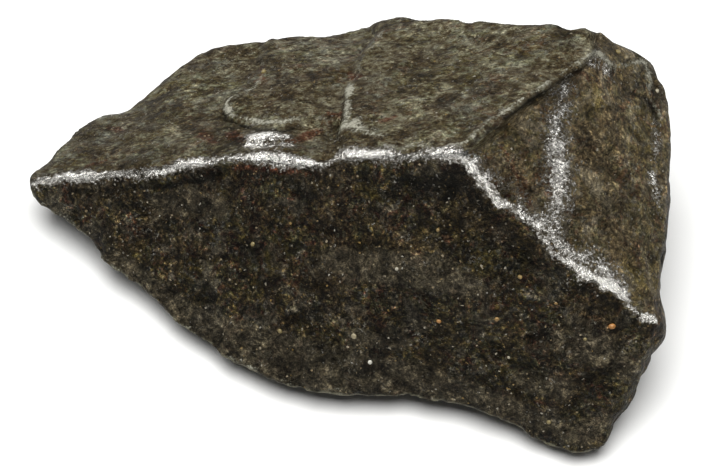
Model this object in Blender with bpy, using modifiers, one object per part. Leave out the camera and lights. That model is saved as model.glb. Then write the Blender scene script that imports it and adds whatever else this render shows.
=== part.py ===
"""An iron meteorite fragment about 43 mm long, lying on a small flat spot.

It formed and broke off as one piece, so it is one closed solid. A long worn crest climbs from
a pointed tip to a peak, and forks there round the blunt end. Behind the crest lies the flaked
top face. In front of it the steep pitted face drops to a thin hem near the ground.

X runs from the pointed tip to the blunt end, Y from front to back, and Z is up. Places and
sizes are in millimetres, and MM turns them into the metres of the finished mesh.
"""

import bmesh
import bpy
from mathutils import Vector, noise

NAME = "meteorite"
MM = 0.001

# The worn crest, from the pointed tip to the peak.
CREST = {
    "tip": (-21.7, 4.8, 4.3),
    "crest_low": (-16.0, 3.2, 7.0),
    "crest_middle": (-7.0, 1.9, 11.3),
    "crest_high": (-0.5, -0.5, 14.0),
    "peak": (7.3, -2.3, 17.1),
}
# The two arms of the fork, which run from the peak round the blunt end.
BACK_ARM = {
    "back_arm_middle": (11.5, 2.0, 17.2),
    "back_shoulder": (16.0, 5.9, 16.9),
}
FRONT_ARM = {
    "front_arm_upper": (11.6, -5.8, 14.8),
    "front_arm_middle": (14.1, -8.1, 12.7),
    "front_arm_lower": (16.8, -8.9, 11.4),
    "front_shoulder": (20.0, -10.0, 9.2),
}
# The rim between the flaked top face and the steep back.
BACK_RIM = {
    "rim_low": (-19.0, 9.4, 3.6),
    "rim_turn": (-16.9, 10.9, 3.8),
    "rim_bend": (-10.6, 15.0, 5.0),
    "rim_left": (-7.8, 15.3, 5.6),
    "rim_middle": (2.0, 14.8, 9.6),
    "rim_corner": (14.2, 8.9, 15.8),
    "rim_end": (16.5, 8.5, 15.7),
}
# The blunt end is folded along a low ridge. Beyond the fold are its rim and its foot.
END_FOLD = {
    "fold_top": (14.5, 3.4, 17.0),
    "fold_middle": (13.5, -1.2, 16.1),
    "fold_low": (13.4, -5.4, 14.5),
    "fold_foot": (13.8, -7.3, 13.6),
}
END_RIM = {
    "end_back_corner": (20.5, 8.2, 12.8),
    "end_back": (21.3, 6.9, 12.2),
    "end_nose": (20.6, -9.2, 6.6),
}
END_FOOT = {
    "end_foot_back": (19.0, 6.5, 3.5),
    "end_foot_middle": (19.3, -2.0, 3.0),
    "end_foot_front": (18.4, -9.0, 1.8),
}
# The lowest edge in front, where the pitted face turns under.
FRONT_HEM = {
    "hem_end": (20.4, -9.4, 5.0),
    "hem_right": (19.2, -10.0, 2.8),
    "hem_nose_right": (16.4, -15.4, 1.3),
    "hem_nose_left": (14.4, -15.5, 1.2),
    "hem_left": (-3.1, -10.8, 2.0),
    "hem_bend": (-8.6, -7.7, 2.0),
    "hem_low": (-13.8, -2.9, 2.2),
    "hem_tip": (-21.3, 3.9, 3.2),
}
BACK_HEM = {
    "heel_left": (-8.5, 13.0, 1.8),
    "heel_middle": (3.0, 13.8, 2.0),
    "heel_right": (16.0, 9.2, 3.5),
}
# The underside slopes in from the hems. What lies below height 0 becomes the flat spot.
UNDERSIDE = {
    "under_left": (-1.5, 1.5, -0.25),
    "under_front_left": (1.0, -3.0, -0.25),
    "under_front_right": (8.5, -4.0, -0.25),
    "under_right": (11.0, 1.5, -0.25),
    "under_back": (5.0, 5.5, -0.25),
}
CORNER_GROUPS = (
    CREST, BACK_ARM, FRONT_ARM, BACK_RIM, END_FOLD, END_RIM, END_FOOT, FRONT_HEM, BACK_HEM, UNDERSIDE
)
FLAT_ANGLE = 0.03

# The spacing of the points that carry the surface, and how many rubs wear its edges round.
SURFACE_GRID = 0.35
EDGE_RUBS = 4

# The top face's two upper flakes lie on each other and end together at the front and right.
# Each steps down past its left edge, given here in plan from the back rim forwards.
TONGUE_EDGE = (
    (-4.6, 17.0), (-5.5, 14.1), (-5.9, 12.8), (-5.6, 11.4), (-6.6, 10.0), (-7.8, 9.1),
    (-8.2, 8.4), (-7.2, 7.0), (-4.9, 5.4), (-3.0, 5.2), (-0.3, 4.6),
)
THICK_EDGE = (
    (1.2, 17.0), (1.6, 14.5), (2.1, 12.8), (0.9, 10.3), (0.9, 8.0), (-0.2, 6.8), (-0.3, 4.6),
)
FLAKE_REST = ((-0.5, 2.5), (0.0, -6.0), (20.0, -6.0), (20.0, 17.0))
TONGUE_STEP = 0.45
THICK_STEP = 0.5
FLAKE_EDGE_WIDTH = 0.55
FLAKE_FADE = 4.0
TOP_FACE_NORMAL = Vector((-0.33, 0.30, 0.89))

# Broad hollows and lumps, each a smooth push: its middle, its radius, and how far it moves.
PUSHES = {
    "bay in the front hem": ((6.4, -12.8, 1.5), 9.0, (0.0, 1.4, 0.4)),
    "notch in the left hem": ((-18.6, 1.2, 2.2), 3.5, (0.4, 0.4, 0.0)),
    "notch in the back rim, left": ((-15.2, 12.2, 4.2), 4.5, (0.3, -0.8, 0.0)),
    "notch in the back rim, middle": ((-1.0, 15.0, 8.5), 5.5, (0.0, -0.3, -0.5)),
    "notch in the end rim": ((20.8, -6.5, 8.5), 3.0, (-0.4, 0.0, 0.0)),
    "shiny lump below the tongue": ((-5.5, 4.3, 10.0), 1.8, (-0.1, 0.1, 0.3)),
    "thumbprint behind the thick flake": ((7.5, 13.5, 7.0), 5.0, (-0.2, -1.3, 0.0)),
    "thumbprint behind the shoulder": ((16.5, 9.6, 9.5), 4.0, (-0.3, -0.9, 0.0)),
    "thumbprint behind the tongue": ((-3.0, 14.8, 4.0), 4.0, (0.0, -0.9, 0.2)),
    "thumbprint in the blunt end": ((20.0, 1.0, 5.5), 4.5, (-1.0, 0.0, 0.2)),
    "thumbprint under the nose": ((12.0, -11.0, 0.5), 4.0, (0.0, 0.3, 0.8)),
    "thumbprint under the tip": ((-13.0, 4.5, 1.8), 5.0, (0.0, 0.0, 0.8)),
    "thumbprint under the back": ((-2.0, 11.0, 0.8), 4.0, (0.0, 0.0, 0.7)),
}

# The weathered relief: how high or deep each kind is, and how far apart its forms lie.
WAVE_HEIGHT = 0.2
WAVE_SPACING = 6.0
LUMP_HEIGHT = 0.25
LUMP_SPACING = 2.5
PIT_DEPTH = 0.35
PIT_SPACING = 2.4
PIT_PATTERN = Vector((7.0, 3.0, 1.0))

TRIANGLES = 8400


def rough_block():
    """The block that the fragment is worn from: flat faces stretched over its corners."""
    mesh = bmesh.new()
    for group in CORNER_GROUPS:
        for corner in group.values():
            mesh.verts.new(Vector(corner) * MM)
    skin = bmesh.ops.convex_hull(mesh, input=mesh.verts)
    inside = [item for item in skin["geom_interior"] if isinstance(item, bmesh.types.BMVert)]
    bmesh.ops.delete(mesh, geom=inside, context="VERTS")
    bmesh.ops.dissolve_limit(mesh, angle_limit=FLAT_ANGLE, verts=mesh.verts, edges=mesh.edges)
    data = bpy.data.meshes.new(NAME)
    mesh.to_mesh(data)
    mesh.free()
    return bpy.data.objects.new(NAME, data)


def apply_modifiers(rock):
    """Turn the rock's modifiers into its own mesh."""
    view = bpy.context.evaluated_depsgraph_get()
    shaped = bpy.data.meshes.new_from_object(rock.evaluated_get(view))
    rock.modifiers.clear()
    unshaped = rock.data
    rock.data = shaped
    bpy.data.meshes.remove(unshaped)


def wear_edges(rock):
    """Lay an even grid of points over the block, and rub its edges round."""
    grid = rock.modifiers.new("even grid", "REMESH")
    grid.mode = "VOXEL"
    grid.voxel_size = SURFACE_GRID * MM
    rub = rock.modifiers.new("worn edges", "SMOOTH")
    rub.iterations = EDGE_RUBS
    apply_modifiers(rock)


def smooth_step(value):
    """Ease from 0 to 1 as the value goes from 0 to 1."""
    value = min(max(value, 0.0), 1.0)
    return value * value * (3.0 - 2.0 * value)


def distance_outside(point, outline):
    """How far a point in plan lies outside a closed outline, or less than 0 inside it."""
    nearest = float("inf")
    inside = False
    for start, end in zip(outline, outline[1:] + outline[:1]):
        side = end - start
        along = min(max((point - start).dot(side) / side.length_squared, 0.0), 1.0)
        nearest = min(nearest, (start + side * along - point).length)
        spans = (start.y > point.y) != (end.y > point.y)
        if spans and point.x < start.x + (point.y - start.y) * side.x / side.y:
            inside = not inside
    return -nearest if inside else nearest


def flake_relief(place, normal, flakes):
    """The steps at the left edges of the flakes, which fade out down the top face."""
    facing = smooth_step((normal.dot(TOP_FACE_NORMAL) - 0.7) / 0.2)
    if facing == 0.0:
        return 0.0
    drop = 0.0
    for outline, step in flakes:
        outside = distance_outside(place.xy, outline)
        if 0.0 < outside < FLAKE_FADE:
            drop += step * smooth_step(outside / FLAKE_EDGE_WIDTH) * (1.0 - outside / FLAKE_FADE)
    return -drop * facing


def weathered_relief(place, normal):
    """Waves, lumps and pits, strong on the steep and hidden sides, nearly worn off on top."""
    roughness = 1.0 - 0.8 * smooth_step((normal.z - 0.5) / 0.35)
    waves = WAVE_HEIGHT * noise.noise(place / WAVE_SPACING)
    lumps = LUMP_HEIGHT * noise.noise(place / LUMP_SPACING)
    pits = PIT_DEPTH * smooth_step((noise.noise(place / PIT_SPACING + PIT_PATTERN) - 0.15) / 0.35)
    return waves + roughness * (lumps - pits)


def pushed(place):
    """How far the broad hollows and lumps move a point."""
    move = Vector()
    for middle, radius, push in PUSHES.values():
        away = (place - Vector(middle)).length / radius
        if away < 1.0:
            move += Vector(push) * (1.0 - away * away) ** 2
    return move


def carve(rock):
    """Move every point of the surface by the relief at its place."""
    flakes = [
        ([Vector(corner) for corner in edge + FLAKE_REST], step)
        for edge, step in ((TONGUE_EDGE, TONGUE_STEP), (THICK_EDGE, THICK_STEP))
    ]
    normals = [vertex.normal.copy() for vertex in rock.data.vertices]
    for vertex, normal in zip(rock.data.vertices, normals):
        place = vertex.co / MM
        relief = flake_relief(place, normal, flakes) + weathered_relief(place, normal)
        vertex.co = (place + pushed(place) + normal * relief) * MM


def thin_out(rock):
    """Keep only as many triangles as the relief needs."""
    triangles = sum(len(face.vertices) - 2 for face in rock.data.polygons)
    thin = rock.modifiers.new("fewer faces", "DECIMATE")
    thin.ratio = TRIANGLES / triangles
    apply_modifiers(rock)


def settle(rock):
    """Flatten what lies below height 0, and put the origin under the middle of the box."""
    mesh = bmesh.new()
    mesh.from_mesh(rock.data)
    for vertex in mesh.verts:
        vertex.co.z = max(vertex.co.z, 0.0)
    flat_spot = [face for face in mesh.faces if all(vertex.co.z == 0.0 for vertex in face.verts)]
    bmesh.ops.dissolve_faces(mesh, faces=flat_spot)
    bmesh.ops.triangulate(mesh, faces=mesh.faces[:])
    across = [vertex.co.x for vertex in mesh.verts]
    deep = [vertex.co.y for vertex in mesh.verts]
    middle = Vector((min(across) + max(across), min(deep) + max(deep), 0.0)) / 2
    bmesh.ops.translate(mesh, verts=mesh.verts, vec=-middle)
    mesh.to_mesh(rock.data)
    mesh.free()


def rusted_iron():
    """Nickel-iron under a thin dark brown skin of rust, half of it rubbed bare."""
    material = bpy.data.materials.new("rusted_nickel_iron")
    material.use_nodes = True
    shader = material.node_tree.nodes["Principled BSDF"]
    shader.inputs["Base Color"].default_value = (0.07, 0.06, 0.045, 1.0)
    shader.inputs["Roughness"].default_value = 0.5
    shader.inputs["Metallic"].default_value = 0.6
    return material


def main():
    for old in list(bpy.data.objects):
        bpy.data.objects.remove(old)
    collection = bpy.data.collections.new("iron_meteorite")
    bpy.context.scene.collection.children.link(collection)
    rock = rough_block()
    collection.objects.link(rock)
    wear_edges(rock)
    carve(rock)
    thin_out(rock)
    settle(rock)
    rock.data.materials.append(rusted_iron())
    rock.data.shade_smooth()


main()
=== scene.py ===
"""An iron meteorite fragment on a white table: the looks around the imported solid."""

import math

import bmesh
import bpy
import numpy as np
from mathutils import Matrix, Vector, noise
from mathutils.bvhtree import BVHTree
from mathutils.kdtree import KDTree


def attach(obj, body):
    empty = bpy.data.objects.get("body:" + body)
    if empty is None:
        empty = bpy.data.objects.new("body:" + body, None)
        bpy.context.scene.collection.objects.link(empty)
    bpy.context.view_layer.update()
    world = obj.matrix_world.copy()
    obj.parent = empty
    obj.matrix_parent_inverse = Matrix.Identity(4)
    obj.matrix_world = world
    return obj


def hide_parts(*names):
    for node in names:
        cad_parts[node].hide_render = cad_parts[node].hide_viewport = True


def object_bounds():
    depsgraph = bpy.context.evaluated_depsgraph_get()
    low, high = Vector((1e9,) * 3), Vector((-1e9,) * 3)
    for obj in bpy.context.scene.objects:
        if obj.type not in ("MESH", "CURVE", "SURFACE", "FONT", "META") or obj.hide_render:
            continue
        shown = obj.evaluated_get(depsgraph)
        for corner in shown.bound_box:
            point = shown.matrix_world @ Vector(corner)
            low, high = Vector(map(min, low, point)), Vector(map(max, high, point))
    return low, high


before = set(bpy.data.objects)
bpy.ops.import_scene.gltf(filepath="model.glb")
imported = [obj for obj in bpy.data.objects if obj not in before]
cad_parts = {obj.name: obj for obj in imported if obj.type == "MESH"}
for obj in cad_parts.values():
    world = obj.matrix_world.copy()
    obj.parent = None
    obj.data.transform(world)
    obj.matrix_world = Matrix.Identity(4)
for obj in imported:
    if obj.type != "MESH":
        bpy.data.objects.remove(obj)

cad_box = [list(corner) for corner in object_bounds()]

# The view. The camera looks down on the fragment's steep front from 300 mm away, at 55 degrees.
# Pixels in this file are those of a frame 708 wide and 472 high, counted from its top left.
# Sizes are in mm, apart from those of the table and the lights.
MM = 0.001
IMAGE_WIDTH = 708
IMAGE_HEIGHT = 472
SENSOR_WIDTH = 36.0
VIEW_ELEVATION = math.radians(55.0)
VIEW_DISTANCE = 300.0
VIEW_AIM = Vector((0.52, -2.44, 8.0))
PIXELS_PER_MM = 15.24
FOCUS_IN_PIXELS = PIXELS_PER_MM * VIEW_DISTANCE

view_back = Vector((0.0, -math.cos(VIEW_ELEVATION), math.sin(VIEW_ELEVATION)))
view_up = Vector((0.0, math.sin(VIEW_ELEVATION), math.cos(VIEW_ELEVATION)))
view_right = Vector((1.0, 0.0, 0.0))
view_place = VIEW_AIM + view_back * VIEW_DISTANCE
bpy.ops.object.camera_add(
    location=view_place * MM, rotation=(math.pi / 2 - VIEW_ELEVATION, 0.0, 0.0)
)
camera = bpy.context.object
camera.data.sensor_width = SENSOR_WIDTH
camera.data.lens = SENSOR_WIDTH * FOCUS_IN_PIXELS / IMAGE_WIDTH
bpy.context.scene.camera = camera

# The fragment. It is nickel-iron, broken off along flat planes, then rusted in desert sand and
# rubbed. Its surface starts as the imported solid, laid over with points about 0.2 mm apart.
WELD = 0.002
SURFACE_GRID = 0.195
GRID_RUBS = 2

fragment = bpy.data.objects.new("iron_fragment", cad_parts["meteorite"].data.copy())
bpy.context.scene.collection.objects.link(fragment)
bpy.ops.object.select_all(action="DESELECT")
fragment.select_set(True)
bpy.context.view_layer.objects.active = fragment
bpy.ops.object.mode_set(mode="EDIT")
bpy.ops.mesh.select_all(action="SELECT")
bpy.ops.mesh.remove_doubles(threshold=WELD * MM)
bpy.ops.object.mode_set(mode="OBJECT")
rounding = fragment.modifiers.new("no facets", "SUBSURF")
rounding.levels = 1
rounding.render_levels = 1
grid = fragment.modifiers.new("even grid", "REMESH")
grid.mode = "VOXEL"
grid.voxel_size = SURFACE_GRID * MM
rub = fragment.modifiers.new("rubbed", "SMOOTH")
rub.iterations = GRID_RUBS
for modifier in (rounding, grid, rub):
    bpy.ops.object.modifier_apply(modifier=modifier.name)


def read_points(mesh, field):
    """One row of three numbers for each vertex of a mesh."""
    values = np.empty(len(mesh.vertices) * 3, np.float32)
    mesh.vertices.foreach_get(field, values)
    return values.reshape(-1, 3).astype(float)


places = read_points(fragment.data, "co") / MM
normals = read_points(fragment.data, "normal")


def noise_at(spacing, shift, spots=places):
    """Smooth noise from about -1 to 1 at each vertex, with forms about one spacing wide."""
    return np.array([noise.noise(Vector(spot)) for spot in spots / spacing + shift])


def eased(values, low, high):
    """Ease from 0 to 1 as the values go from low to high."""
    part = np.clip((values - low) / (high - low), 0.0, 1.0)
    return part * part * (3.0 - 2.0 * part)


# Where the photograph shows a line on the surface, the line is named by its pixels, and each of
# them is thrown back onto the surface along the camera's sight.
def tree_of(mesh):
    """A search tree of a mesh's faces, to throw rays at."""
    edit = bmesh.new()
    edit.from_mesh(mesh)
    search_tree = BVHTree.FromBMesh(edit)
    edit.free()
    return search_tree


surface = tree_of(fragment.data)


def seen_at(across, down):
    """The place on the fragment, in mm, that the camera sees at a pixel."""
    sideways = view_right * ((across - IMAGE_WIDTH / 2) / FOCUS_IN_PIXELS)
    upright = view_up * ((IMAGE_HEIGHT / 2 - down) / FOCUS_IN_PIXELS)
    sight = (sideways + upright - view_back).normalized()
    hit = surface.ray_cast(view_place * MM, sight)[0]
    return None if hit is None else hit / MM


# The lines waver, as worn edges do: by two noises of these spacings and sizes in mm.
WAVERS = ((1.4, 0.16), (0.5, 0.08))
WAVER_SHIFT = 50.0
SHIFT_PER_AXIS = 9.0
wavering = places.copy()
for spacing, size in WAVERS:
    for axis in range(3):
        wavering[:, axis] += size * noise_at(spacing, WAVER_SHIFT + SHIFT_PER_AXIS * axis)


def near_line(line):
    """How strongly each vertex belongs to a drawn line, fading to 0 at the line's reach.

    A line's points are (across, down, reach in pixels, strength).
    """
    belongs = np.zeros(len(places))
    corners = [(seen_at(across, down), reach, strength) for across, down, reach, strength in line]
    corners = [corner for corner in corners if corner[0] is not None]
    for (start, reach_a, strength_a), (end, reach_b, strength_b) in zip(corners, corners[1:]):
        side = np.array(end - start)
        from_start = wavering - np.array(start)
        along = np.clip(from_start @ side / (side @ side), 0.0, 1.0)
        away = np.linalg.norm(from_start - along[:, None] * side, axis=1)
        reach = (reach_a + (reach_b - reach_a) * along) / PIXELS_PER_MM
        strength = strength_a + (strength_b - strength_a) * along
        belongs = np.maximum(belongs, strength * np.clip(1.0 - away / reach, 0.0, 1.0))
    return belongs


def near_any(*lines):
    """How strongly each vertex belongs to the line that claims it most."""
    return np.maximum.reduce([near_line(line) for line in lines])


# Bare metal shows where the crest, its two arms and the fold of the blunt end are rubbed.
CREST = (
    (33, 185, 6, 0.8), (40, 183, 10, 1.1), (52, 180, 9, 0.9), (66, 176, 12, 1.1), (95, 177, 10, 1.0),
    (120, 175, 9, 0.7), (140, 175, 9, 0.8), (160, 173, 10, 1.0), (178, 166, 11, 1.1),
    (200, 162, 9, 1.0), (222, 160, 8, 0.7), (245, 157, 10, 0.8), (260, 156, 13, 1.05),
    (290, 160, 12, 1.0), (312, 164, 10, 0.8), (326, 165, 8, 0.6), (338, 157, 12, 0.9),
    (352, 154, 14, 1.0), (385, 155, 13, 1.0), (402, 157, 10, 0.8), (420, 153, 12, 0.9),
    (445, 154, 13, 1.0), (462, 156, 13, 1.0),
)
FRONT_ARM = (
    (462, 156, 11, 1.1), (480, 177, 10, 1.2), (500, 201, 10, 1.2), (520, 213, 10, 1.1),
    (532, 221, 8, 0.8), (545, 242, 8, 0.9), (556, 254, 8, 0.9), (575, 267, 9, 0.9),
    (592, 276, 11, 1.1), (610, 285, 12, 1.3), (622, 291, 11, 1.2), (630, 305, 7, 0.5),
    (642, 317, 9, 0.9), (654, 321, 9, 0.9),
)
FRONT_ARM_FLECKS = (
    (474, 162, 18, 0.45), (496, 182, 22, 0.42), (520, 203, 18, 0.42), (550, 230, 16, 0.6),
    (566, 250, 18, 0.6), (590, 262, 22, 0.5), (608, 272, 22, 0.6), (622, 284, 14, 0.5),
)
FOLD = (
    (570, 82, 10, 0.35), (560, 96, 13, 0.5), (552, 110, 13, 0.55), (556, 122, 13, 0.6),
    (552, 135, 14, 0.6), (560, 148, 15, 0.8), (560, 165, 14, 0.8), (563, 182, 13, 0.7),
    (562, 195, 14, 0.7), (558, 212, 11, 0.5), (556, 228, 12, 0.6), (566, 245, 13, 0.6),
)
END_EDGE = (
    (655, 122, 12, 0.5), (657, 138, 14, 0.55), (655, 155, 11, 0.45), (653, 176, 11, 0.5),
    (659, 205, 8, 0.5), (662, 225, 6, 0.3),
)
FOLD_SHEEN = (
    (566, 86, 22, 0.5), (556, 120, 28, 0.6), (556, 150, 30, 0.7), (561, 180, 28, 0.7),
    (558, 215, 22, 0.6),
)
CORNER_FLECKS = ((590, 60, 10, 0.5), (602, 66, 12, 0.6), (612, 76, 8, 0.4))
SHINY_LUMP = ((253, 136, 15, 0.9), (268, 136, 18, 1.1), (283, 138, 14, 0.8))
LUMP_FOOT = ((250, 144, 12, 0.6), (268, 145, 14, 0.6), (286, 146, 12, 0.6))
worn = near_any(
    CREST, FRONT_ARM, FRONT_ARM_FLECKS, FOLD, FOLD_SHEEN, END_EDGE, CORNER_FLECKS, SHINY_LUMP,
    LUMP_FOOT,
)

# The flakes of the top face end in thin pale lips, and so does the back arm of the fork. The
# same pale colour makes painted highlights on the blunt corner and along the hem.
TONGUE_LIP = (
    (268, 48, 4, 0.4), (262, 60, 4, 0.5), (265, 72, 4, 0.5), (258, 85, 5, 0.6), (240, 95, 5, 0.7),
    (229, 100, 5, 0.9), (226, 108, 7, 1.2), (234, 115, 5, 1.1), (249, 120, 5, 1.1),
    (265, 123, 5, 1.2), (282, 123, 5, 1.1), (297, 120, 5, 0.9),
)
TONGUE_RIM = ((268, 54, 6, 0.4), (275, 45, 7, 0.5), (296, 43, 7, 0.5), (318, 46, 6, 0.3))
THICK_LIP = (
    (383, 33, 8, 0.7), (376, 42, 6, 0.5), (368, 51, 5, 0.4), (363, 60, 5, 0.5), (361, 72, 5, 0.4),
    (352, 82, 6, 0.7), (350, 89, 11, 1.4), (347, 98, 6, 1.0), (348, 110, 6, 0.9), (346, 122, 10, 1.0),
    (356, 130, 7, 0.9), (372, 134, 5, 0.8), (386, 139, 5, 0.7),
)
PALE_PATCH = ((344, 126, 12, 1.1), (354, 124, 14, 1.2), (366, 131, 10, 1.0), (384, 138, 8, 0.7))
CREST_LIP = (
    (384, 146, 5, 0.7), (398, 149, 5, 0.9), (412, 144, 5, 0.9), (424, 146, 5, 0.9),
    (438, 150, 5, 1.0), (450, 146, 6, 1.0), (462, 145, 6, 1.0),
)
BACK_ARM_LIP = (
    (462, 145, 6, 1.0), (475, 134, 6, 0.9), (492, 120, 5, 0.7), (500, 115, 6, 1.0),
    (512, 106, 5, 0.8), (530, 94, 5, 0.7), (542, 86, 6, 1.0), (556, 76, 5, 0.7),
    (568, 69, 6, 0.9), (582, 60, 8, 1.0), (595, 52, 8, 1.0),
)
CORNER_LIP = (
    (595, 52, 9, 1.0), (606, 60, 10, 1.0), (614, 67, 8, 0.8), (624, 64, 7, 0.7), (636, 60, 8, 0.9),
    (645, 62, 8, 1.1), (649, 72, 8, 1.1), (650, 84, 8, 1.0), (650, 94, 6, 0.8),
)
# A painted highlight on the blunt corner.
CORNER_GLINT = ((652, 101, 4, 0.7), (658, 111, 5, 0.9), (661, 118, 4, 0.6))
# A painted highlight along the hem, where it catches light from the table.
HEM_HIGHLIGHT = (
    (42, 203, 4, 0.9), (52, 211, 4, 0.9), (73, 218, 4, 0.8), (94, 241, 4, 0.9), (107, 257, 4, 1.0),
    (131, 279, 4, 0.9), (156, 300, 4, 0.9), (181, 321, 4, 0.8), (204, 339, 4, 0.9),
    (226, 352, 4, 0.9), (244, 358, 4, 0.8), (260, 374, 4, 0.7), (290, 384, 4, 0.8), (304, 389, 4, 0.6),
    (350, 389, 3, 0.5), (400, 398, 3, 0.5),
)
pale_lips_and_highlights = near_any(
    TONGUE_LIP, TONGUE_RIM, THICK_LIP, PALE_PATCH, CREST_LIP, BACK_ARM_LIP, CORNER_LIP,
    CORNER_GLINT, HEM_HIGHLIGHT,
)

# Creases follow the lips on their low side, and one runs below the crest. They are sunk a
# little, and painted dark as the shade below the lips and the crest.
BACK_ARM_CREASE = (
    (470, 145, 5, 0.7), (490, 129, 5, 0.8), (512, 112, 6, 0.9), (535, 97, 6, 1.0),
    (556, 83, 6, 0.9), (575, 72, 6, 0.8), (594, 61, 6, 0.7),
)
TONGUE_CREASE = (
    (222, 107, 5, 0.7), (226, 118, 6, 0.8), (242, 125, 6, 1.0), (262, 129, 5, 1.0),
    (284, 130, 5, 0.9), (300, 126, 5, 0.6),
)
CREST_CREASE = (
    (52, 193, 5, 0.6), (70, 191, 6, 0.8), (100, 191, 6, 0.6), (140, 187, 5, 0.6),
    (165, 187, 6, 1.0), (190, 181, 6, 1.0), (215, 175, 6, 0.8), (240, 175, 5, 0.4),
)
CORNER_CREASE = (
    (630, 95, 5, 0.6), (640, 97, 6, 0.9), (648, 101, 8, 1.0), (653, 108, 8, 1.0), (657, 118, 7, 0.9)
)
crease = near_any(BACK_ARM_CREASE, TONGUE_CREASE, CREST_CREASE, CORNER_CREASE)

# Some places are darkened: painted shade, black below the peak and along the low side of its
# front arm, and dark spots on the faces. Others are rust red beside the fold, the shiny lump and
# the flakes. On the steep front, smoother patches are drawn pale and plain over the grains: painted
# sheen on a smoother skin.
# Painted shade: black below the peak and along the low side of its front arm.
PAINTED_SHADE_BELOW_PEAK = (
    (392, 178, 22, 0.7), (420, 184, 26, 1.0), (448, 182, 28, 1.0), (470, 196, 22, 0.9),
    (490, 216, 18, 0.8), (520, 244, 14, 0.7), (560, 277, 14, 0.7), (610, 300, 13, 0.8),
    (640, 330, 14, 0.8),
)
DARK_SPOTS = (
    ((165, 196, 10, 0.6), (180, 198, 10, 0.6)), ((300, 190, 16, 0.7), (318, 200, 12, 0.6)),
    ((296, 222, 10, 0.6), (292, 262, 9, 0.6)), ((208, 300, 12, 0.7), (228, 290, 10, 0.6)),
    ((95, 160, 22, 0.4), (150, 156, 28, 0.5), (205, 148, 24, 0.5)),
    ((205, 118, 18, 0.3), (228, 130, 16, 0.5), (240, 146, 12, 0.6)),
    ((296, 146, 14, 0.6), (322, 148, 16, 0.6), (334, 132, 12, 0.5)),
    ((150, 128, 20, 0.3), (180, 112, 20, 0.35)),
)
shade_and_spots = near_any(PAINTED_SHADE_BELOW_PEAK, *DARK_SPOTS)
RUST_MARKS = (
    ((551, 138, 7, 0.8), (552, 165, 8, 1.0), (549, 195, 7, 0.9)),
    ((505, 150, 12, 0.5), (520, 180, 14, 0.6), (530, 205, 12, 0.6)),
    ((232, 135, 12, 1.2), (243, 140, 9, 1.2)),
    ((292, 142, 10, 1.2), (303, 137, 13, 1.3), (316, 132, 10, 1.1)),
    ((203, 134, 14, 1.0), (215, 142, 10, 0.9)),
    ((235, 168, 6, 0.8), (270, 168, 7, 0.9), (310, 173, 6, 0.8)),
    ((349, 74, 8, 1.2), (357, 78, 8, 1.2)),
    ((330, 114, 7, 1.1), (341, 116, 6, 1.1)),
    ((380, 122, 7, 1.1), (394, 117, 6, 1.1)),
    ((108, 128, 7, 0.9), (124, 131, 6, 0.9)), ((88, 166, 8, 0.8), (104, 160, 8, 0.8)),
    ((262, 68, 7, 0.9), (262, 80, 6, 0.8)),
    ((578, 72, 9, 0.7), (600, 84, 9, 0.6)),
    ((636, 140, 14, 0.5), (640, 170, 14, 0.5)),
)
rust = near_any(*RUST_MARKS)
# Painted sheen: smoother patches of the steep front, drawn pale and plain over the grains.
SHEEN_SMEARS = (
    ((326, 260, 18, 0.8), (350, 262, 20, 1.0), (385, 268, 24, 1.2), (440, 276, 24, 1.2),
     (480, 290, 18, 0.8)),
    ((160, 205, 18, 0.9), (190, 200, 20, 1.1), (222, 208, 16, 0.8)),
    ((355, 338, 14, 0.9), (400, 342, 16, 1.1)),
    ((205, 325, 22, 1.0), (245, 344, 30, 1.3), (275, 356, 34, 1.4), (310, 366, 36, 1.4)),
    ((310, 366, 36, 1.4), (360, 374, 32, 1.3), (430, 384, 26, 1.1), (500, 404, 20, 1.0)),
    ((110, 252, 14, 0.9), (160, 292, 16, 1.0), (205, 325, 22, 1.0)),
    ((500, 404, 20, 0.9), (545, 425, 22, 0.8), (580, 436, 22, 0.8), (604, 420, 18, 0.8)),
    ((560, 340, 22, 0.8), (600, 350, 26, 0.9), (630, 372, 20, 0.8)),
    ((520, 380, 20, 0.6), (560, 388, 24, 0.7)),
)
sheen_smear = near_any(*SHEEN_SMEARS)

# The top face is smooth but grained along its length, down over the walls of its flakes. The
# other faces are pitted and lumpy. The crest's metal is thinner where it turns to the front.
TOP_NORMAL = np.array((-0.33, 0.31, 0.89))
END_NORMAL = np.array((0.55, -0.18, 0.82))
FRONT_NORMAL = np.array((-0.36, -0.81, 0.46))
FLAKE_WALLS = (
    ((380, 40, 16, 1.0), (360, 70, 16, 1.0), (346, 100, 18, 1.2), (342, 130, 18, 1.2),
     (340, 154, 12, 1.0)),
    ((268, 50, 14, 1.0), (258, 86, 14, 1.0), (228, 104, 14, 1.0), (260, 126, 12, 1.0),
     (300, 124, 12, 1.0)),
)
FRONT_WEAR_LOST = 0.2
top = np.maximum(eased(normals @ TOP_NORMAL, 0.72, 0.9), eased(near_any(*FLAKE_WALLS), 0.1, 0.7))
end = eased(normals @ END_NORMAL, 0.75, 0.92)
worn *= 1.0 - FRONT_WEAR_LOST * eased(normals @ FRONT_NORMAL, 0.8, 0.95)

# The hem is where the steep front ends below: it turns away from the camera there, facing
# neither up nor right. A pale rim is painted along it, out to its reach: a painted reflection of
# the white table.
HEM_BACK = 5.0
RIM_HIGHLIGHT_REACH = 0.45
facing = normals @ np.array(view_back)
hem = eased(facing, -0.3, -0.05) * (1.0 - eased(facing, 0.15, 0.45))
hem *= 1.0 - eased(normals @ np.array(view_up), -0.35, 0.0)
hem *= 1.0 - eased(normals @ np.array(view_right), 0.2, 0.5)
hem *= places[:, 1] < HEM_BACK
edge = np.nonzero(hem > 0.5)[0]
edge_tree = KDTree(len(edge))
for order, index in enumerate(edge):
    edge_tree.insert(Vector(wavering[index]), order)
edge_tree.balance()
to_edge = np.array([edge_tree.find(Vector(spot))[2] for spot in wavering])
rim = 1.0 - np.minimum(to_edge / RIM_HIGHLIGHT_REACH, 1.0)

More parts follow.
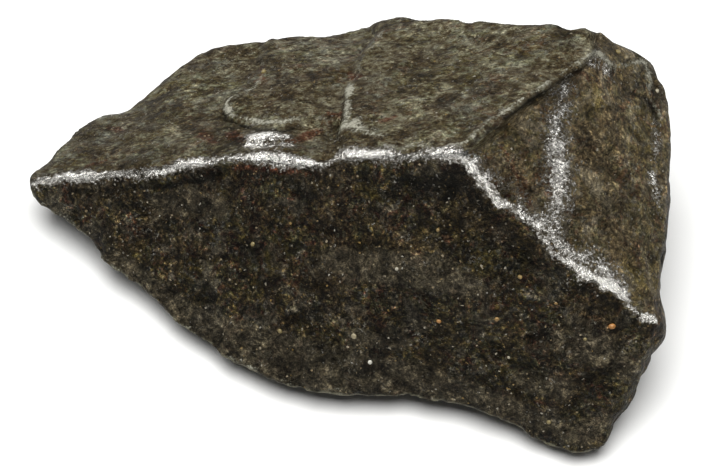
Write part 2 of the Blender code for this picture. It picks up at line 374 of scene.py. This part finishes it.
# The relief, in mm. Bulges and ripples are noises of a spacing, a shift and a size, and the
# ripples are drawn out along the streaks of the top face.
STREAK_WAY = np.array((0.855, -0.297, 0.424))
STREAK_STRETCH = 0.42
BULGES = ((1.7, 11.0, 0.11), (0.8, 23.0, 0.07), (0.4, 31.0, 0.03))
RIPPLES = ((1.3, 5.0, 0.10), (0.5, 7.0, 0.05))
PIT_SPACING = 1.2
PIT_SHIFT = 37.0
PIT_DEPTH = 0.14
LIP_HEIGHT = 0.08
CREASE_DEPTH = 0.2
HEM_DEPTH = 0.06
TOP_SMOOTHNESS = 0.85
FLOOR_FADE = 0.6
streaked = places - STREAK_STRETCH * (places @ STREAK_WAY)[:, None] * STREAK_WAY
bulge = sum(size * noise_at(spacing, shift) for spacing, shift, size in BULGES)
ripple = sum(size * noise_at(spacing, shift, streaked) for spacing, shift, size in RIPPLES)
pit = eased(noise_at(PIT_SPACING, PIT_SHIFT), 0.2, 0.5)
relief = (1.0 - TOP_SMOOTHNESS * top) * (bulge - PIT_DEPTH * pit) + top * ripple
relief += LIP_HEIGHT * pale_lips_and_highlights - CREASE_DEPTH * crease - HEM_DEPTH * hem
relief *= np.clip(places[:, 2] / FLOOR_FADE, 0.0, 1.0)
moved = places + normals * relief[:, None]

# Some places swell. Each is pushed sideways, upright and nearer by so many mm, as the camera
# sees it, along a line of its own.
SWELLS = {
    "back rim": (
        0.0, 0.3, 0.0,
        ((318, 37, 22, 0.6), (342, 32, 26, 1.0), (364, 26, 22, 1.0), (378, 20, 14, 0.5)),
    ),
    "left of the back rim": (
        0.0, 0.25, 0.0, ((232, 47, 14, 0.5), (255, 46, 18, 1.0), (270, 45, 14, 0.8))
    ),
    "right of the back rim": (
        0.0, 0.25, 0.0, ((568, 28, 18, 0.7), (588, 33, 20, 1.0), (606, 40, 16, 0.6))
    ),
    "blunt corner": (
        0.35, 0.12, 0.0, ((652, 64, 22, 0.8), (663, 76, 24, 1.0), (666, 95, 20, 0.7))
    ),
    "shiny lump": (
        0.0, 0.0, 0.9, ((257, 134, 20, 0.8), (269, 134, 23, 1.0), (281, 135, 20, 0.8))
    ),
    "thick flake": (
        0.0, 0.0, 0.35, ((330, 112, 20, 0.7), (328, 130, 22, 1.0), (328, 148, 20, 1.0))
    ),
    "tip": (0.05, 0.3, 0.0, ((34, 202, 14, 1.0), (42, 209, 16, 1.0), (52, 214, 14, 0.7))),
    "front hem": (
        -0.15, -0.28, 0.0,
        ((60, 212, 22, 0.4), (81, 226, 26, 1.0), (104, 247, 26, 1.0), (140, 280, 26, 0.8),
         (190, 320, 26, 0.7), (215, 338, 26, 1.0), (258, 364, 26, 1.0), (300, 378, 22, 0.4)),
    ),
}
for sideways, upright, nearer, line in SWELLS.values():
    push = np.array(view_right * sideways + view_up * upright + view_back * nearer)
    moved += eased(near_line(line), 0.0, 1.0)[:, None] * push
low_corner, high_corner = (np.array(corner) / MM for corner in cad_box)
moved = np.clip(moved, low_corner, high_corner)
fragment.data.vertices.foreach_set("co", (moved * MM).astype(np.float32).ravel())
fragment.data.update()
fragment.data.shade_smooth()
layers = {
    "worn": worn, "pale_lips_and_highlights": pale_lips_and_highlights, "crease": crease, "shade_and_spots": shade_and_spots, "rust": rust, "sheen_smear": sheen_smear,
    "top": top, "end": end, "pit": pit, "bulge": bulge, "rim": rim,
}
for name, values in layers.items():
    layer = fragment.data.attributes.new(name, "FLOAT", "POINT")
    layer.data.foreach_set("value", values.astype(np.float32))


def paint(colour):
    """The linear colour of an sRGB hex value, with full alpha."""
    parts = [int(colour[at:at + 2], 16) / 255 for at in (1, 3, 5)]
    linear = [p / 12.92 if p <= 0.04045 else ((p + 0.055) / 1.055) ** 2.4 for p in parts]
    return (*linear, 1.0)


def add(tree, kind, inputs=None, out=0, **settings):
    """Add a node with its settings and with values or links, and give one of its outputs."""
    made = tree.nodes.new("ShaderNode" + kind)
    for name, value in settings.items():
        setattr(made, name, value)
    for socket, value in (inputs or {}).items():
        if isinstance(value, bpy.types.NodeSocket):
            tree.links.new(value, made.inputs[socket])
        else:
            made.inputs[socket].default_value = value
    return made.outputs[out]


# Rusted nickel-iron: a skin of iron oxide grains, olive and brown with black, red and grey ones,
# matt, with a few bright specks: tan grains, and grey ones that are painted glints. Where it is
# rubbed through, the metal is silvery and shiny.
skin = bpy.data.materials.new("rusted_nickel_iron")
skin.use_nodes = True
tree = skin.node_tree
shader = tree.nodes["Principled BSDF"]

# Patterns read the place in mm. On the top face it is drawn out along the streaks.
place = add(tree, "TexCoord", out="Object")
place = add(tree, "VectorMath", {0: place, "Scale": 1.0 / MM}, operation="SCALE")
felt = {name: add(tree, "Attribute", out="Fac", attribute_name=name) for name in layers}
streak_way = Vector(STREAK_WAY)
along = add(tree, "VectorMath", {0: place, 1: streak_way}, out="Value", operation="DOT_PRODUCT")
stretch = add(tree, "Math", {0: felt["top"], 1: STREAK_STRETCH}, operation="MULTIPLY")
stretch = add(tree, "Math", {0: along, 1: stretch}, operation="MULTIPLY")
stretch = add(tree, "VectorMath", {0: streak_way, "Scale": stretch}, operation="SCALE")
streaks = add(tree, "VectorMath", {0: place, 1: stretch}, operation="SUBTRACT")

# Each pattern is three noises, or three random numbers for each grain, from 0 to 1. A noise is
# given by its forms in a millimetre, its detail, roughness and distortion. The finest grains are
# 0.1 to 0.3 mm across, and the blots are 2 to 5 mm.
NOISES = {
    "grains": (streaks, 1.0, 5.0, 0.95, 0.25),
    "fine": (streaks, 4.0, 3.0, 0.9, 0.0),
    "hues": (streaks, 0.5, 5.0, 0.85, 0.6),
    "marks": (streaks, 0.7, 2.0, 0.6, 1.0),
    "bumps": (streaks, 1.2, 5.0, 0.65, 0.0),
    "broad": (place, 0.2, 3.0, 0.8, 0.0),
    "blots": (place, 0.5, 3.0, 0.7, 0.8),
    "glints": (place, 5.0, 2.0, 0.7, 0.0),
}
CELLS = {"crystals": (streaks, 4.0), "sparks": (place, 7.5), "specks": (place, 8.0)}
patterns = {}
for name, (where, per_mm, detail, roughness, distortion) in NOISES.items():
    patterns[name] = add(
        tree, "TexNoise",
        {"Vector": where, "Scale": per_mm, "Detail": detail, "Roughness": roughness,
         "Distortion": distortion},
        out="Color",
    )
for name, (where, per_mm) in CELLS.items():
    patterns[name] = add(tree, "TexVoronoi", {"Vector": where, "Scale": per_mm}, out="Color")
for name, pattern in patterns.items():
    patterns[name] = add(tree, "SeparateColor", {"Color": pattern}).node.outputs
grains, fine, hues, marks, bumps, broad, blots, glints = (patterns[name] for name in NOISES)
crystals, sparks, specks = (patterns[name] for name in CELLS)

# Parts of the surface from 0 to 1: a value, where it starts, where it is full, and the most.
PARTS = {
    # Painted sheen of the smoother patches.
    "pale_sheen": (felt["sheen_smear"], 0.05, 0.6, 1.0),
    "plain": (blots[0], 0.53, 0.63, 0.7),
    "calm": (blots[2], 0.4, 0.6, 1.0),
    "dark": (blots[1], 0.5, 0.64, 1.0),
    # Small spots of painted glint.
    "glint_spots": (glints[1], 0.66, 0.8, 0.8),
    # The creases are painted dark as shade.
    "crease_shade": (felt["crease"], 0.1, 0.9, 0.9),
    # Painted shade below the peak, with the dark spots.
    "shaded_spots": (felt["shade_and_spots"], 0.15, 0.9, 0.75),
}
part = {}
for name, (value, start, full, most) in PARTS.items():
    levels = {"Value": value, "From Min": start, "From Max": full, "To Max": most}
    part[name] = add(tree, "MapRange", levels, interpolation_type="SMOOTHSTEP")
plain = add(tree, "Math", {0: part["pale_sheen"], 1: part["plain"]}, operation="MAXIMUM")
shaded = add(tree, "Math", {0: part["crease_shade"], 1: part["shaded_spots"]}, operation="MAXIMUM")
smooth_side = add(tree, "Math", {0: felt["top"], 1: felt["end"]}, operation="MAXIMUM")
rough_side = add(tree, "Math", {0: 1.0, 1: smooth_side}, operation="SUBTRACT")
grainy = add(tree, "MapRange", {"Value": smooth_side, "To Min": 0.85, "To Max": 0.4})
lively = add(tree, "MapRange", {"Value": smooth_side, "To Min": 1.0, "To Max": 0.6})


def roughened(value, *noises):
    """A value with noises added, each given with the least and the most that it adds."""
    for source, least, most in noises:
        added = add(tree, "MapRange", {"Value": source, "To Min": least, "To Max": most})
        value = add(tree, "Math", {0: value, 1: added}, operation="ADD")
    return value


def lay(under, over, share, *masks):
    """Lay one colour over another, by a share from 0 to 1 times each mask.

    A mask is a value from 0 to 1, or a value with the levels where it starts and is full.
    """
    for mask in masks:
        if isinstance(mask, tuple):
            value, start, full = mask
            levels = {"Value": value, "From Min": start, "From Max": full}
            mask = add(tree, "MapRange", levels, interpolation_type="SMOOTHSTEP")
        share = add(tree, "Math", {0: share, 1: mask}, operation="MULTIPLY")
    # These are the numbers of a Mix node's sockets for colours.
    factor, first, second, mixed = 0, 6, 7, 2
    return add(tree, "Mix", {factor: share, first: under, second: over}, mixed, data_type="RGBA")


# The oxides: olive brown, with grey, red-brown, ochre, ash, golden and russet grains, broad
# brown areas, plain earthy places with the painted sheen of smoother patches, and a duller skin on
# the two smooth faces.
OXIDES = (
    ("#232320", 0.8, (hues[0], 0.5, 0.62)),
    ("#2e180e", 0.8, (hues[1], 0.53, 0.64)),
    ("#28220c", 0.8, (hues[2], 0.5, 0.62)),
    ("#282826", 0.6, (crystals[2], 0.75, 0.95)),
    ("#322b16", grainy, (crystals[1], 0.6, 0.85), (hues[0], 0.55, 0.42)),
    ("#2c1a12", grainy, (crystals[0], 0.5, 0.8), (hues[1], 0.47, 0.58)),
    ("#241c11", 0.6, (broad[1], 0.45, 0.6)),
    ("#373227", 0.75, plain),
    ("#1f1e15", 0.25, felt["top"]),
    ("#201c14", 0.45, felt["end"]),
)
colour = lay(paint("#201f13"), paint("#231d11"), 1.0, (crystals[1], 0.2, 0.8))
for shade, share, *masks in OXIDES:
    colour = lay(colour, paint(shade), share, *masks)

# The top face and blunt end are drawn about four times as light as the pitted faces: partly a
# paler rubbed skin, partly painted light, as these faces turn up to the light above.
PITTED_GAIN = (1.06, 1.06, 1.08, 1.0)
TOP_GAIN = (3.8, 3.9, 3.95, 1.0)
END_GAIN = (4.6, 4.6, 4.6, 1.0)
gain = lay(lay(PITTED_GAIN, TOP_GAIN, felt["top"]), END_GAIN, felt["end"])
colour = add(tree, "VectorMath", {0: colour, 1: gain}, operation="MULTIPLY")
red_rust = lay(paint("#341a10"), paint("#4e2a1a"), felt["top"])
rusty = roughened(felt["rust"], (fine[1], -0.8, 0.8), (grains[1], -0.8, 0.8))
colour = lay(colour, red_rust, 0.9, (rusty, 0.2, 0.8))

# How light each place is, as a power of e: fine and coarse grains with small spots of painted
# glint, blots, bulges and pits, with a paler right end of the top face and a paler nose of the
# front.
calmed = 1.0
for value, least, most in ((plain, 1.0, 0.4), (smooth_side, 1.0, 0.7), (part["calm"], 1.2, 0.65)):
    share = add(tree, "MapRange", {"Value": value, "To Min": least, "To Max": most})
    calmed = add(tree, "Math", {0: calmed, 1: share}, operation="MULTIPLY")
fine_grain = roughened(part["glint_spots"], (fine[0], -3.7, 3.7), (glints[1], -1.0, 1.0))
coarse_grain = add(tree, "MapRange", {"Value": grains[0], "To Min": -5.4, "To Max": 5.4})
sideways = add(tree, "SeparateXYZ", {0: place})
top_slope = {"Value": sideways, "From Min": -18.0, "From Max": 8.0, "To Min": -0.25, "To Max": 0.1}
nose_slope = {"Value": sideways, "From Min": 8.0, "From Max": 18.0, "To Max": 0.35}
power = roughened(-0.14, (broad[0], -1.6, 1.6))
for value, share in (
    (fine_grain, calmed), (coarse_grain, lively), (part["dark"], -0.7), (felt["bulge"], 1.5),
    (felt["pit"], -0.5), (felt["top"], add(tree, "MapRange", top_slope)),
    (rough_side, add(tree, "MapRange", nose_slope)),
):
    power = add(tree, "Math", {0: value, 1: share, 2: power}, operation="MULTIPLY_ADD")
colour = lay(colour, paint("#444439"), 0.6, (power, -0.3, 0.4), felt["top"])
colour = lay(colour, paint("#42331f"), 0.5, (power, 0.0, -0.7), felt["top"])
lightness = add(tree, "Math", {0: power}, operation="EXPONENT")
colour = add(tree, "VectorMath", {0: colour, "Scale": lightness}, operation="SCALE")

# Pale scratches and dark cracks, thin and broken: each runs where one noise passes its middle,
# and shows where another one is high.
STROKE_WIDTH = 0.022
strokes = []
for line_noise, patch_noise in ((marks[0], hues[1]), (marks[1], hues[2])):
    off_middle = add(tree, "Math", {0: line_noise, 1: 0.5}, operation="SUBTRACT")
    off_middle = add(tree, "Math", {0: off_middle}, operation="ABSOLUTE")
    thin = {"Value": off_middle, "From Min": STROKE_WIDTH, "From Max": 0.0}
    thin = add(tree, "MapRange", thin, interpolation_type="SMOOTHSTEP")
    shown = {"Value": patch_noise, "From Min": 0.5, "From Max": 0.58}
    shown = add(tree, "MapRange", shown, interpolation_type="SMOOTHSTEP")
    strokes.append(add(tree, "Math", {0: thin, 1: shown}, operation="MULTIPLY"))
scratches, cracks = strokes
colour = lay(colour, lay(paint("#3f3d31"), paint("#626053"), felt["top"]), 0.6, scratches)
colour = lay(colour, paint("#0d0c09"), 0.7, cracks)

# Bright specks, tan grains and grey painted glints; then the painted shade, near black, in the
# creases and below the peak, and the dark spots.
speck_edge = roughened(specks[0], (glints[2], -0.04, 0.04))
speck_colour = lay(paint("#7a6233"), paint("#9b988d"), specks[1])
# The grey specks are painted glints.
colour = lay(colour, speck_colour, 0.9, (speck_edge, 0.985, 1.0), lively)
# Painted shade, near black, in the creases and below the peak, and the dark spots.
colour = lay(colour, paint("#080806"), shaded)

# The pale lips of the flakes, and the painted highlights on the blunt corner and along the hem,
# with ragged edges; then the painted reflection of the table on the rim of the hem.
lips_and_highlights_edge = roughened(felt["pale_lips_and_highlights"], (marks[2], -0.8, 0.8), (glints[2], -0.9, 0.9))
lips_and_highlights_crown = roughened(lips_and_highlights_edge, (fine[2], -1.2, 1.2))
lips_and_highlights_colour = lay(paint("#58564a"), paint("#9b998b"), 1.0, (lips_and_highlights_crown, 0.5, 1.2))
colour = lay(colour, lips_and_highlights_colour, 0.85, (lips_and_highlights_edge, 0.3, 0.8))
# Painted reflection of the white table: pale along the rim of the hem.
rim_highlight_edge = roughened(felt["rim"], (marks[2], -0.5, 0.5), (glints[2], -0.3, 0.3))
colour = lay(colour, paint("#7c7966"), 0.8, (rim_highlight_edge, 0.3, 0.8))

# Bare metal: dull brown where it is barely rubbed, then silver, and hammered by small dents.
worn_edge = roughened(
    felt["worn"], (marks[2], -0.45, 0.45), (glints[2], -0.55, 0.55), (sparks[0], -0.15, 0.15)
)
bared = {"Value": worn_edge, "From Min": 0.2, "From Max": 0.55}
bare = add(tree, "MapRange", bared, interpolation_type="SMOOTHSTEP")
polish = roughened(worn_edge, (glints[0], -0.5, 0.5), (marks[0], -0.3, 0.3))
metal = lay(paint("#5b554a"), paint("#f4f2ec"), 1.0, (polish, 0.3, 1.0))
colour = lay(colour, metal, bare)
sheen = add(tree, "MapRange", {"Value": bare, "To Min": 0.5, "To Max": 0.25})

# Fine relief, in mm, of the same noises: lower on the top face, and dented on bare metal.
lumpy = add(tree, "MapRange", {"Value": felt["top"], "To Min": 1.0, "To Max": 0.35})
dented = add(tree, "MapRange", {"Value": bare, "To Min": 0.03, "To Max": 0.25})
height = add(tree, "Math", {0: cracks, 1: -0.04}, operation="MULTIPLY")
for value, share in ((bumps[0], lumpy), (glints[0], dented)):
    height = add(tree, "Math", {0: value, 1: share, 2: height}, operation="MULTIPLY_ADD")
bump = add(tree, "Bump", {"Height": height, "Distance": MM, "Strength": 1.0}, out="Normal")
finish = {"Base Color": colour, "Metallic": bare, "Roughness": sheen, "Normal": bump}
for socket, value in finish.items():
    tree.links.new(value, shader.inputs[socket])
shader.inputs["Specular IOR Level"].default_value = 0.06
fragment.data.materials.clear()
fragment.data.materials.append(skin)
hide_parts("meteorite")
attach(fragment, "root")

# The sand. Grains of desert quartz, rounded by wind and 0.25 to 0.45 mm across, sit in the pits.
# One grain is shaped from a coarse ball 1 mm across, then copied, turned and sized where the
# photo has one. A grain is (across, down, width in pixels, how tan it is).
SAND = (
    (612, 326, 7, 1.0), (264, 72, 6, 0.5), (397, 269, 4, 0.2), (439, 321, 5, 0.9),
    (497, 319, 5, 0.7), (520, 277, 5, 0.6), (556, 303, 4, 0.7), (549, 422, 5, 0.5),
    (280, 331, 5, 0.5), (354, 336, 6, 0.4), (370, 362, 5, 0.0), (509, 357, 4, 0.3),
    (585, 339, 4, 0.5), (618, 52, 6, 0.5), (657, 91, 5, 0.3), (438, 230, 4, 0.6),
    (253, 244, 5, 0.5),
)
GRAIN_SIZE = (1.15, 1.05, 0.95)
GRAIN_LUMPS = 0.08
GRAIN_LUMP_SEED = 3
GRAIN_RADIUS = 0.5
SINK = 0.05
surface = tree_of(fragment.data)
bpy.ops.object.select_all(action="DESELECT")
bpy.ops.mesh.primitive_ico_sphere_add(subdivisions=2, radius=GRAIN_RADIUS * MM)
first_grain = bpy.context.object
bpy.ops.object.mode_set(mode="EDIT")
bpy.ops.mesh.select_all(action="SELECT")
bpy.ops.transform.resize(value=GRAIN_SIZE)
bpy.ops.transform.vertex_random(offset=GRAIN_LUMPS * MM, seed=GRAIN_LUMP_SEED)
bpy.ops.object.mode_set(mode="OBJECT")
rounding = first_grain.modifiers.new("worn by wind", "SUBSURF")
rounding.levels = 1
rounding.render_levels = 1
bpy.ops.object.modifier_apply(modifier=rounding.name)
first_grain.data.shade_smooth()
grains_of_sand = []
for number, (across, down, wide, tan) in enumerate(SAND):
    spot = seen_at(across, down)
    if spot is None:
        continue
    grain = first_grain.copy()
    grain.data = first_grain.data.copy()
    bpy.context.scene.collection.objects.link(grain)
    grain.location = (spot - view_back * SINK) * MM
    grain.scale = [wide / PIXELS_PER_MM] * 3
    grain.rotation_euler = (number, 2.0 * number, 3.0 * number)
    layer = grain.data.attributes.new("tan", "FLOAT", "POINT")
    layer.data.foreach_set("value", [tan] * len(grain.data.vertices))
    grains_of_sand.append(grain)
bpy.data.objects.remove(first_grain)
bpy.ops.object.select_all(action="DESELECT")
for grain in grains_of_sand:
    grain.select_set(True)
bpy.context.view_layer.objects.active = grains_of_sand[0]
bpy.ops.object.transform_apply(location=True, rotation=True, scale=True)
bpy.ops.object.join()
sand = bpy.context.object
sand.name = "desert_sand"

# Quartz sand: milky to tan, glassy inside but frosted by wind, so it looks soft and a little pale.
quartz = bpy.data.materials.new("frosted_quartz_sand")
quartz.use_nodes = True
sand_tree = quartz.node_tree
sand_shader = sand_tree.nodes["Principled BSDF"]
SAND_COLOURS = ((0.0, "#c4c1b4"), (0.5, "#7a6c42"), (1.0, "#96652a"))
CLOUDS_PER_MM = 6.0
tan_part = add(sand_tree, "Attribute", out="Fac", attribute_name="tan")
sand_colour = add(sand_tree, "ValToRGB", {"Fac": tan_part}, out="Color")
stops = sand_colour.node.color_ramp.elements
stops.new(0.5)
for stop, (at, shade) in zip(stops, SAND_COLOURS):
    stop.position = at
    stop.color = paint(shade)
sand_place = add(sand_tree, "TexCoord", out="Object")
clouds = {"Vector": sand_place, "Scale": CLOUDS_PER_MM / MM, "Detail": 2.0}
clouds = add(sand_tree, "TexNoise", clouds, out="Fac")
milky = {"Value": clouds, "From Min": 0.3, "From Max": 0.7, "To Min": 0.6, "To Max": 1.0}
milky = add(sand_tree, "MapRange", milky)
sand_colour = add(sand_tree, "VectorMath", {0: sand_colour, "Scale": milky}, operation="SCALE")
sand_tree.links.new(sand_colour, sand_shader.inputs["Base Color"])
sand_shader.inputs["Roughness"].default_value = 0.45
sand.data.materials.clear()
sand.data.materials.append(quartz)
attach(sand, "root")

# The table: a white sheet of matt paper that the fragment lies on, lit until it is nearly pure
# white.
TABLE_SIZE = 2.0
bpy.ops.mesh.primitive_plane_add(size=TABLE_SIZE)
table = bpy.context.object
table.name = "table"
white = bpy.data.materials.new("white_paper")
white.use_nodes = True
white_shader = white.node_tree.nodes["Principled BSDF"]
white_shader.inputs["Base Color"].default_value = paint("#f4f4f2")
white_shader.inputs["Roughness"].default_value = 0.8
table.data.materials.append(white)

# The light: a pale room, a large soft light above, and a smaller one at each side. The side
# lights reach the fragment and its sand alone, so the shadow on the table stays narrow and dark.
# A light is its place and size in metres, and its power in watts.
ROOM_BRIGHTNESS = 0.08
SOFT_LIGHTS = {
    "above": ((-0.012, -0.06, 0.59), 0.45, 6.0),
    "left": ((-0.50, 0.08, 0.42), 0.3, 1.5),
    "right": ((0.50, 0.12, 0.42), 0.2, 1.0),
}
world = bpy.data.worlds.new("pale_room")
bpy.context.scene.world = world
world.use_nodes = True
room = world.node_tree.nodes["Background"]
room.inputs["Color"].default_value = (1.0, 1.0, 1.0, 1.0)
room.inputs["Strength"].default_value = ROOM_BRIGHTNESS
lit_from_sides = bpy.data.collections.new("lit_from_the_sides")
for piece in (fragment, sand):
    lit_from_sides.objects.link(piece)
for name, (place, size, power) in SOFT_LIGHTS.items():
    bpy.ops.object.light_add(type="AREA", location=place)
    lamp = bpy.context.object
    lamp.name = "soft_light_" + name
    lamp.data.size = size
    lamp.data.energy = power
    lamp.rotation_euler = (-Vector(place)).to_track_quat("-Z", "Y").to_euler()
    if name != "above":
        lamp.light_linking.receiver_collection = lit_from_sides
bpy.context.scene.view_settings.view_transform = "Standard"
